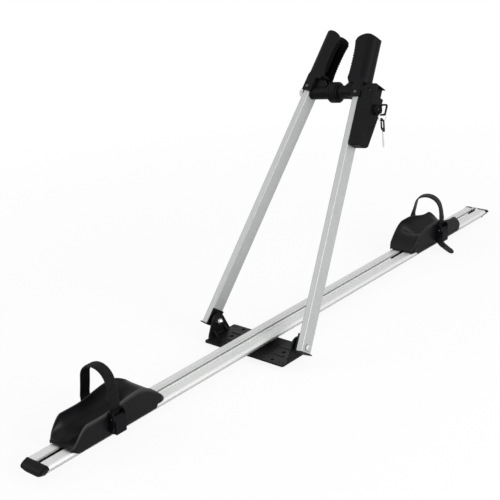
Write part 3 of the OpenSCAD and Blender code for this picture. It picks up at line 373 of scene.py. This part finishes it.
def rail_half(milled):
    """Half of the section as (y, z) points, from the slot's floor round to the foot."""
    slot, lip, ease = (LIP_Y, LAND_Z, 0) if milled else (SLOT_Y, LIP_Z, 0.3)
    half = [(POCKET_Y, POCKET_Z), (POCKET_Y, POCKET_TOP), (slot, POCKET_TOP), (slot, lip - ease),
            (slot + ease, lip), (LIP_Y - ease, lip), (LIP_Y, lip - ease), (LIP_Y, LAND_Z)]
    for i in range(1, GROOVE_N + 1):
        y, deep = LIP_Y + i * GROOVE_PITCH, LAND_Z - GROOVE_DEEP
        half += [(y - 0.5, LAND_Z), (y - 0.2, deep), (y + 0.2, deep), (y + 0.5, LAND_Z)]
    for i in range(SIDE_STEPS + 1):
        a = math.radians(90 - 90 * i / SIDE_STEPS)
        half.append((SIDE_Y - SIDE_R + SIDE_R * math.cos(a), LAND_Z - SIDE_R + SIDE_R * math.sin(a)))
    a = math.atan2(SLOPE_Z - FOOT_Z, SIDE_Y - FOOT_Y)
    y, z = SIDE_Y - 0.3, SLOPE_Z - 0.2
    return half + [(y, z), (y - 0.6 * math.cos(a), z - 0.6 * math.sin(a)),
                   (FOOT_Y + 0.6, FOOT_Z + 0.5), (FOOT_Y - 0.4, FOOT_Z)]


def rail_ring(x, milled):
    """The whole section at a place along the rail."""
    half = rail_half(milled)
    return [(x, y, z) for y, z in half] + [(x, -y, z) for y, z in half[::-1]]


print("the rail's section has", len(rail_ring(0, False)), "points")

# %% Draw the rail out
rings = []
here = RAIL_ENDS[0]
for start, end in WINDOWS:
    if start > here:
        rings += [rail_ring(here, False), rail_ring(start, False)]
    rings += [rail_ring(start, True), rail_ring(end, True)]
    here = end
rings += [rail_ring(here, False), rail_ring(RAIL_ENDS[1], False)]
make_piece("rail_extrusion", *loft(rings), "aluminium_rail", "base", "rail", crease=25)

# %% [markdown]
# Deep in the slot and in the milled windows the metal lies in shade, and
# that shade is painted. A darker strip laid in would need room for the
# sliders, so the rail's own finish gets a dark colour there, by a mask from the place.

# %% Painted shade in the slot
# The painted shade's top, its half width and its dark colour.
SHADE_TOP, SHADE_HALF, SLOT_SHADE = 18.8, 8.0, (0.02, 0.02, 0.02, 1)


def paint_slot_shade(material):
    """Blends a painted shade colour in where the place is inside a channel along X."""
    n, link = material.node_tree.nodes, material.node_tree.links.new
    shader = n["Principled BSDF"]
    unshaded = shader.inputs["Base Color"].links[0].from_socket
    place, split, side, inside, deep, both, mix = (
        n.new("ShaderNode" + kind) for kind in ("TexCoord", "SeparateXYZ", "Math", "Math", "Math", "Math", "Mix"))
    side.operation, both.operation, mix.data_type = "ABSOLUTE", "MULTIPLY", "RGBA"
    inside.operation = deep.operation = "LESS_THAN"
    inside.inputs[1].default_value, deep.inputs[1].default_value = SHADE_HALF * MM, SHADE_TOP * MM
    mix.inputs["B"].default_value = SLOT_SHADE
    link(place.outputs["Object"], split.inputs[0])
    link(split.outputs["Y"], side.inputs[0])
    link(side.outputs[0], inside.inputs[0])
    link(split.outputs["Z"], deep.inputs[0])
    link(inside.outputs[0], both.inputs[0])
    link(deep.outputs[0], both.inputs[1])
    link(both.outputs[0], mix.inputs["Factor"])
    link(unshaded, mix.inputs["A"])
    link(mix.outputs["Result"], shader.inputs["Base Color"])


# Shade is painted into the rail's finish inside the slot and the windows.
paint_slot_shade(FINISHES["aluminium_rail"])
print("the slot is dark up to", SHADE_TOP, "mm")

# %% [markdown]
# ## End caps
#
# The caps are soft black plugs. A bevelled block would look cut. Each
# starts as the rail's outline, a touch proud of it, and closes in rings
# towards a blunt, rounded nose.

# %% End caps
CAP_L, CAP_PROUD = 18.5, 0.9
SLOT_POINTS = 7
# Each row: distance out, how far the outline grows, how far the top and the
# foot draw in, and the share of the width.
CAP_ROWS = (
    (-1.2, -0.3, 0, 0, 1), (0, CAP_PROUD - 0.3, 0, 0, 1), (0.3, CAP_PROUD, 0, 0, 1),
    (2.2, CAP_PROUD, 0, 0, 1), (2.6, CAP_PROUD - 0.3, 0, 0, 1),
    (CAP_L * 0.45, 0.2, 1.2, 0.6, 1), (CAP_L * 0.65, 0, 2.6, 1.6, 0.99),
    (CAP_L * 0.8, 0, 4.2, 2.8, 0.965), (CAP_L * 0.9, 0, 5.8, 4.2, 0.93),
    (CAP_L * 0.97, 0, 7.6, 5.8, 0.88), (CAP_L, 0, 8.8, 7.0, 0.84))


def cap_rings():
    """Rings of a cap from its flange to its nose, with x counted outward from the rail's end."""
    outline = [(y, z) for y, z in rail_half(True)[SLOT_POINTS:]
               if z < LAND_Z or y == LIP_Y or y > SIDE_Y - SIDE_R - 1]
    ring = outline + [(-y, z) for y, z in outline[::-1]]
    rings = []
    for out, grow, top, low, wide in CAP_ROWS:
        placed = []
        for y, z in ring:
            share = (z - FOOT_Z) / (LAND_Z - FOOT_Z)
            placed.append((out, y * (wide + grow / SIDE_Y),
                           z + (grow - top) * share - (grow - low) * (1 - share)))
        rings.append(placed)
    return rings


for name, x, way in (("end_cap_front", RAIL_ENDS[0], -1), ("end_cap_rear", RAIL_ENDS[1], 1)):
    place = Matrix.Translation((x * MM, 0, 0)) @ Matrix.Scale(way, 4, (1, 0, 0))
    make_piece("cap_" + name, *loft(cap_rings()), "black_plastic", "base", name, place, crease=32)

# %% [markdown]
# ## Wheel trays
#
# Each tray is one moulding: a trough that lies on the rail, open where the
# wheel rolls in and closed by a rounded nose. The CAD tray has flat
# facets. Subdividing them would round every edge alike. Here the same
# outline is lofted through many stations, with a rolled lip, shallow
# grooves in the trough, a seat for the strap and a short rounded tongue.

# %% Sizes of a tray, in millimetres
RAIL_TOP, LIP_H, PLAY = 24.0, 2.5, 0.3
FRONT_X, FRONT_L = -512.0, 219.0
REAR_X, REAR_L = 710.0, 203.0
FLOOR, FLOOR_T = LIP_H + PLAY, 3.0
FULL, HALF, FLARE, WALL = 54.0, 33.0, 5.0, 2.6
RISE_L, NOSE_L, NOSE_POWER = 32.0, 66.0, 1.75
CLOSE_AT, CLOSE_L = 90.0, 18.0
SKIRT_END, SKIRT_H, SKIRT_IN, SKIRT_RISE = 24.0, 7.0, 30.3, 16.0
TIP_L, TIP_IN = 12.0, 4.0
TONGUE, TONGUE_L, TONGUE_IN = 4.0, 12.0, 5.0
STRAP_AT, STRAP_W, STRAP_T, STRAP_GAP = 94.0, 22.0, 2.2, 0.4
# A rim's low and high, and where its swell starts and how long it is.
RIMS = {FRONT_L: (40.0, 51.0, 66.0, 84.0), REAR_L: (35.0, 49.0, 45.0, 70.0)}


def nose(x, length):
    """How much of the wall is left towards the closed end."""
    return 1 - (1 - min((length - x) / NOSE_L, 1)) ** NOSE_POWER


def rim(x, length):
    """Height of the tray's rim above the rail: low, then high along a swell."""
    foot = FLOOR + FLOOR_T + PLAY
    low, high, swell_at, swell_l = RIMS[length]
    swell = low - foot + (high - low) * smooth_step((x - swell_at) / swell_l)
    return foot + swell * (1 - min(max(1 - x / RISE_L, 0), 1) ** 1.5) * nose(x, length)


def trough(x, length):
    """Height of the bottom of the trough, which rises to close the nose."""
    foot = FLOOR + FLOOR_T
    return foot + (rim(x, length) - PLAY - foot) * smooth_step((x - length + CLOSE_AT) / (CLOSE_AT - CLOSE_L))


print("rim heights", [round(rim(x, FRONT_L), 1) for x in (0, 30, 60, 120, 180, 210)])

# %% One ring across a tray
TROUGH_N, LIP_N, LIP_R = 49, 5, 1.5
GROOVES, GROOVE_W, GROOVE_H = (-0.30, 0.0, 0.30), 0.05, 0.7
GROOVE_FROM, GROOVE_TO = 6, 70
SEAT_H, SEAT_HALF = 0.7, 17
# Shares of the wall's height, from the lip down, and how far it bulges there.
WALL_BULGES = ((0.82, 0.15), (0.6, 0.25), (0.38, 0.2), (0.16, 0.05))


def corner(distance, reach, depth):
    """How far a rounded corner draws a side in, at a distance from the end."""
    return depth * max(1 - distance / reach, 0) ** 2


def tray_ring(x, length):
    """One section across the tray, as a closed ring of points."""
    h, f = rim(x, length), trough(x, length)
    half = HALF - corner(length - x, TIP_L, TIP_IN) - corner(x + TONGUE, TONGUE_L, TONGUE_IN)
    out = half + FLARE * h / FULL * nose(x, length)
    inner = out - WALL
    hung = 1 - smooth_step((x - length + SKIRT_END) / (SKIRT_END - CLOSE_L))
    skirt = PLAY / 2 - SKIRT_H * hung * smooth_step((x + TONGUE) / SKIRT_RISE)
    skirt_in = min(SKIRT_IN, half - WALL / 2)
    grooved = smooth_step((length - GROOVE_TO - x) / 30) * smooth_step((x - GROOVE_FROM) / 12)
    ring = []
    for i in range(TROUGH_N):
        t = -1 + 2 * i / (TROUGH_N - 1)
        angle = t * math.pi / 2
        dip = GROOVE_H * grooved * max(0, 1 - min(abs(t - g) for g in GROOVES) / GROOVE_W)
        ring.append((x, inner * math.sin(angle), f + (h - f) * (1 - math.cos(angle)) - dip))
    lip = min(LIP_R, (h - f) / 2)
    for i in range(1, LIP_N + 1):
        a = math.pi * (1 - i / LIP_N)
        ring.append((x, inner + WALL / 2 + WALL / 2 * math.cos(a), h + lip * math.sin(a) * 0.8))
    seat = SEAT_H * smooth_step((SEAT_HALF - abs(x - STRAP_AT)) / 3)
    for share, bulge in WALL_BULGES:
        ring.append((x, half + (out - half) * share + bulge - seat, PLAY + (h - PLAY) * share))
    ring += [(x, half, PLAY), (x, half, skirt + 0.6), (x, half - 0.6, skirt),
             (x, skirt_in, skirt), (x, skirt_in, FLOOR)]
    return ring + [(px, -py, pz) for px, py, pz in ring[TROUGH_N:][::-1]]


print("a tray's ring has", len(tray_ring(0, FRONT_L)), "points")

# %% [markdown]
# The stations crowd together near both ends, where the form turns fastest.
# The points of the lip carry the attribute that the finish paints as a pale
# highlight along the lips, less of it on the rear tray.

# %% Loft the trays
TRAY_STEPS, CROWDING = 96, 0.75
# How strongly each tray's lips are painted with a pale highlight.
LIP_HIGHLIGHT = {"front": 0.75, "rear": 0.25}
PLACE_FRONT = Matrix.Translation((FRONT_X * MM, 0, RAIL_TOP * MM))
PLACE_REAR = Matrix.Translation((REAR_X * MM, 0, RAIL_TOP * MM)) @ Matrix.Scale(-1, 4, (1, 0, 0))
ENDS = {"front": (PLACE_FRONT, FRONT_L), "rear": (PLACE_REAR, REAR_L)}


def tray_rings(length):
    """Rings of a tray from its tongue to its nose."""
    rings = []
    for i in range(TRAY_STEPS + 1):
        t = i / TRAY_STEPS
        share = t - math.sin(2 * math.pi * t) / (2 * math.pi) * CROWDING
        rings.append(tray_ring((length + TONGUE) * share - TONGUE, length))
    return rings


def lip_highlight_values(count, amount):
    """The painted highlight of one ring's points: some on both lips, none elsewhere."""
    return [amount if TROUGH_N <= k < TROUGH_N + LIP_N or k >= count - LIP_N else 0.0 for k in range(count)]


for end, (place, length) in ENDS.items():
    rings = tray_rings(length)
    make_piece("tray_moulding_" + end, *loft(rings), "tray_plastic", end + "_tray", "wheel_tray_" + end,
               place, crease=50, lip_highlight=lip_highlight_values(len(rings[0]), LIP_HIGHLIGHT[end]) * len(rings))

# %% [markdown]
# ## Toothed straps
#
# A strap is a band of soft plastic with a ladder of teeth on its outer
# side, between two smooth borders. The ratchet grips the teeth. An array of
# teeth along a curve would leave seams. Here one loft makes band and teeth
# together: the outline's middle steps up and down along the way. First
# comes the way itself, from the far foot over the arch to the tail.

# %% The way of a strap, in millimetres
ARCH_R, STRAP_FOOT, STRAP_RIM = 32.0, 6.0, 50.0
BUCKLE_Z, BUCKLE_L = 22.0, 40.0
ARCH_STEPS, TAIL_STEPS = 40, 12


def wall_y(z):
    """Distance of the strap's middle line from the middle plane, beside the wall."""
    return HALF + FLARE * z / FULL + STRAP_GAP + STRAP_T / 2


def strap_way(top, tail, curl):
    """Points (y, z) of the strap's middle line, from the far foot to the tail's end."""
    arch_z = top - ARCH_R - STRAP_T / 2
    foot = Vector((wall_y(STRAP_RIM), STRAP_RIM - arch_z))
    lean = math.atan2(foot.y, foot.x) + math.acos(ARCH_R / foot.length)
    low = BUCKLE_Z - BUCKLE_L / 2
    way = [(wall_y(STRAP_FOOT), STRAP_FOOT), (wall_y(STRAP_RIM), STRAP_RIM)]
    for i in range(ARCH_STEPS + 1):
        a = lean + (math.pi - 2 * lean) * i / ARCH_STEPS
        way.append((ARCH_R * math.cos(a), arch_z + ARCH_R * math.sin(a)))
    way += [(-wall_y(STRAP_RIM), STRAP_RIM), (-wall_y(low), low)]
    for i in range(1, TAIL_STEPS + 1):
        t = i / TAIL_STEPS
        a = math.radians(curl) * t
        way.append((-wall_y(low) - tail * math.sin(a) * t, low - tail * math.cos(a) * t))
    return [Vector(p) for p in way]


def walk(way, step):
    """Evenly spaced points along a way."""
    out, left = [way[0]], step
    for a, b in zip(way, way[1:]):
        span = (b - a).length
        at = left
        while at <= span:
            out.append(a + (b - a) * at / span)
            at += step
        left = at - span
    return out


print("the front strap's way is", len(walk(strap_way(119.0, 12.0, 0.0), 1.0)), "mm long")

# %% [markdown]
# The straps on the photograph don't stand square: both arches drift along
# the rail, and the rear one is turned as well. Their feet stay where the
# CAD's buckle and rivet are, so the drift and the turn grow over the arch
# and along the loose tail.

# %% Loft the straps
TOOTH_PITCH, TOOTH_H, BORDER = 3.6, 0.9, 3.2
TOOTH_FORM = (0.0, 0.9, 1.0, 0.25)
TEETH_FROM, TEETH_TO, TIP_N = 14, 6, 11
SINK = 0.15
ARCH_MIDDLE = Vector((0, 40))
# Where each blend starts, and over what length it grows.
OVER_ARCH, ALONG_TAIL, NEAR_SIDE, FAR_SHARE = (26, 54), (2, 36), (20, 55), 0.35
# Each strap's top, tail, curl, drift and turn, in millimetres and degrees.
STRAPS = {"front": (119.0, 12.0, 0.0, 5.0, 0.0), "rear": (102.0, 46.0, 40.0, -14.0, -16.0)}


def strap_rings(top, tail, curl, drift, twist):
    """Sections of the strap with its teeth, four to a tooth, drifting and turning over the arch and the tail."""
    line = walk(strap_way(top, tail, curl), TOOTH_PITCH / len(TOOTH_FORM))
    rings = []
    for i, p in enumerate(line):
        ahead = (line[min(i + 2, len(line) - 1)] - line[max(i - 2, 0)]).normalized()
        outward = Vector((-ahead.y, ahead.x))
        outward = outward if outward.dot(p - ARCH_MIDDLE) > 0 else -outward
        end = len(line) - 1 - i
        tooth = TOOTH_H * TOOTH_FORM[i % len(TOOTH_FORM)] if i > TEETH_FROM and end > TEETH_TO else 0
        half = STRAP_W / 2 * (1 if end >= TIP_N else math.sqrt(max(1 - (1 - end / TIP_N) ** 2, 0.05)))
        edge = max(half - BORDER, half * 0.6)
        over = smooth_step((p.y - OVER_ARCH[0]) / OVER_ARCH[1])
        trail = smooth_step((ALONG_TAIL[0] - p.y) / ALONG_TAIL[1])
        near = smooth_step((NEAR_SIDE[0] - p.x) / NEAR_SIDE[1])
        sideways = drift * (over * (FAR_SHARE + (1 - FAR_SHARE) * near) + trail)
        turned_by = math.radians(twist) * (over + trail)
        across, along = math.cos(turned_by), math.sin(turned_by)
        ring = []
        for x, lift in ((-half, -1), (half, -1), (half, 0.7), (half - 0.5, 1), (edge, 1), (edge, 1 + tooth),
                        (-edge, 1 + tooth), (-edge, 1), (0.5 - half, 1), (-half, 0.7)):
            q = p + outward * (min(lift, 1) * STRAP_T / 2 + max(lift - 1, 0) - SINK)
            ring.append((STRAP_AT + x * across + sideways, q.x + x * along, q.y))
        rings.append(ring)
    return rings


for end, way in STRAPS.items():
    make_piece("toothed_strap_" + end, *loft(strap_rings(*way)), "strap_plastic", end + "_tray", "strap_" + end,
               ENDS[end][0], crease=30)

# %% [markdown]
# ## Spacer wheel
#
# The wheel between the jaws is turned: a broad tread with two thin grooves,
# and stepped shoulders. It could be a stack of discs, but then it would
# show seams. It is one closed profile swept round the rod, at the place
# where the rod crosses the carrier's middle plane.

# %% Where the rod is
LEAN, TILT = math.radians(35.8), math.radians(6.9)
ARM_Y, PIVOT_Z, CLAMP_S = 124.5, 30.0, 530.0
left_arm = (Matrix.Translation((0, ARM_Y * MM, PIVOT_Z * MM))
            @ Matrix.Rotation(LEAN, 4, "Y") @ Matrix.Rotation(TILT, 4, "X"))
right_arm = Matrix.Scale(-1, 4, (0, 1, 0)) @ left_arm
clamp_half = (ARM_Y - CLAMP_S * math.sin(TILT)) / math.cos(TILT)
ROD_FRAME = right_arm @ Matrix.Translation((0, -clamp_half * MM, CLAMP_S * MM))
print("spacer at", [round(v, 4) for v in ROD_FRAME.translation])

# %% Turn the spacer
SPACER_R, SPACER_HALF, ROD_HOLE, SPACER_STEPS = 21.5, 12.0, 4.1, 64
TREAD = SPACER_HALF * 0.76
half_profile = [(ROD_HOLE, SPACER_HALF), (7, SPACER_HALF), (9, SPACER_HALF - 0.8), (14.5, SPACER_HALF - 0.8),
                (15.5, SPACER_HALF), (17.6, SPACER_HALF), (18.5, SPACER_HALF - 0.9), (18.5, TREAD + 0.2),
                (20.9, TREAD), (SPACER_R, TREAD - 0.9), (SPACER_R, 4.6), (20.7, 4.2), (20.7, 3.4), (SPACER_R, 3.0)]
profile = half_profile + [(r, -y) for r, y in half_profile[::-1]]
make_piece("spacer_wheel", *turned(profile, SPACER_STEPS), "black_plastic", "spacer", "clamp_spacer",
           ROD_FRAME, crease=30)

# %% [markdown]
# ## Light
#
# The photograph has a plain white ground and soft light. A bright world
# alone would flatten the forms. So the camera and the metal's reflections
# see plain white, while diffuse surfaces are lit by a dimmer sky, brighter
# above than below, and by three large soft lamps.

# %% World
SKY_STRENGTH = 0.55
SKY_RAMP = ((0.30, (0.42, 0.43, 0.44, 1)), (0.80, (1, 1, 1, 1)))

world = bpy.data.worlds.new("studio")
bpy.context.scene.world = world
world.use_nodes = True
n, link = world.node_tree.nodes, world.node_tree.links.new
n.clear()
out, white, sky = n.new("ShaderNodeOutputWorld"), n.new("ShaderNodeBackground"), n.new("ShaderNodeBackground")
white.inputs["Color"].default_value = (1, 1, 1, 1)
sky.inputs["Strength"].default_value = SKY_STRENGTH
place, split, spread, shade = (
    n.new("ShaderNode" + kind) for kind in ("TexCoord", "SeparateXYZ", "MapRange", "ValToRGB"))
spread.inputs["From Min"].default_value = -1
for stop, (position, colour) in zip(shade.color_ramp.elements, SKY_RAMP):
    stop.position, stop.color = position, colour
rays, seen, shown, choose = (
    n.new("ShaderNode" + kind) for kind in ("LightPath", "Math", "Math", "MixShader"))
seen.operation = shown.operation = "MAXIMUM"
link(place.outputs["Generated"], split.inputs[0])
link(split.outputs["Z"], spread.inputs["Value"])
link(spread.outputs["Result"], shade.inputs["Fac"])
link(shade.outputs["Color"], sky.inputs["Color"])
link(rays.outputs["Is Camera Ray"], seen.inputs[0])
link(rays.outputs["Is Glossy Ray"], seen.inputs[1])
link(seen.outputs[0], shown.inputs[0])
link(rays.outputs["Is Transmission Ray"], shown.inputs[1])
link(shown.outputs[0], choose.inputs[0])
link(sky.outputs[0], choose.inputs[1])
link(white.outputs[0], choose.inputs[2])
link(choose.outputs[0], out.inputs[0])
print("sky", SKY_STRENGTH)

# %% Lamps
# Each lamp's place, the point it shines at, its size in metres and its power in watts.
LAMPS = {
    "key": ((-0.3, -3.4, 1.3), (0.1, 0, 0.1), 2.0, 118),
    "back": ((-2.0, 2.2, 2.1), (0.15, 0, 0.3), 1.8, 28),
    "top": ((0.5, -0.4, 3.2), (0.1, 0, 0), 2.2, 8),
}
for name, (place, aim, size, power) in LAMPS.items():
    data = bpy.data.lights.new(name, "AREA")
    data.size = size
    data.energy = power
    obj = bpy.data.objects.new(name, data)
    bpy.context.scene.collection.objects.link(obj)
    ahead = Vector(aim) - Vector(place)
    obj.matrix_world = Matrix.Translation(place) @ ahead.to_track_quat("-Z", "Y").to_matrix().to_4x4()
    print("lamp", name, power, "W")

# %% [markdown]
# ## Floor
#
# A pale floor lies just below the strap's tail. To the camera it glows
# nearly white and keeps a faint shadow, and further out it fades to plain
# white, so that no far edge shows. Only the camera sees the glow, so it must
# not be sampled as a lamp: that would take the lamps' samples and leave the
# arms speckled.

# %% Floor
FLOOR_DROP, FLOOR_SIZE = 0.001, 6
FLOOR_COLOUR = (0.86, 0.86, 0.86, 1)
GLOW_SHARE = {"From Min": 0.7, "From Max": 1.8, "To Min": 0.9, "To Max": 1.0}


def floor_finish():
    """A matt pale material that glows to the camera, fully so far from the carrier."""
    made = bpy.data.materials.new("pale_floor")
    made.use_nodes = True
    made.cycles.emission_sampling = "NONE"
    n, link = made.node_tree.nodes, made.node_tree.links.new
    matt = n["Principled BSDF"]
    matt.inputs["Base Color"].default_value = FLOOR_COLOUR
    matt.inputs["Roughness"].default_value = 0.9
    matt.inputs["Specular IOR Level"].default_value = 0.0
    glow, blend, path, share, place, far, fade = (
        n.new("ShaderNode" + kind)
        for kind in ("Emission", "MixShader", "LightPath", "Math", "TexCoord", "VectorMath", "MapRange"))
    share.operation, far.operation = "MULTIPLY", "LENGTH"
    for label, value in GLOW_SHARE.items():
        fade.inputs[label].default_value = value
    link(place.outputs["Object"], far.inputs[0])
    link(far.outputs["Value"], fade.inputs["Value"])
    link(fade.outputs["Result"], share.inputs[1])
    link(path.outputs["Is Camera Ray"], share.inputs[0])
    link(share.outputs[0], blend.inputs[0])
    link(matt.outputs[0], blend.inputs[1])
    link(glow.outputs[0], blend.inputs[2])
    link(blend.outputs[0], n["Material Output"].inputs[0])
    return made


s, height = FLOOR_SIZE, cad_low[2] - FLOOR_DROP
mesh = bpy.data.meshes.new("floor")
mesh.from_pydata([(-s, -s, height), (s, -s, height), (s, s, height), (-s, s, height)], [], [(0, 1, 2, 3)])
mesh.materials.append(floor_finish())
floor = bpy.data.objects.new("floor", mesh)
bpy.context.scene.collection.objects.link(floor)
print("floor at", round(height, 4))
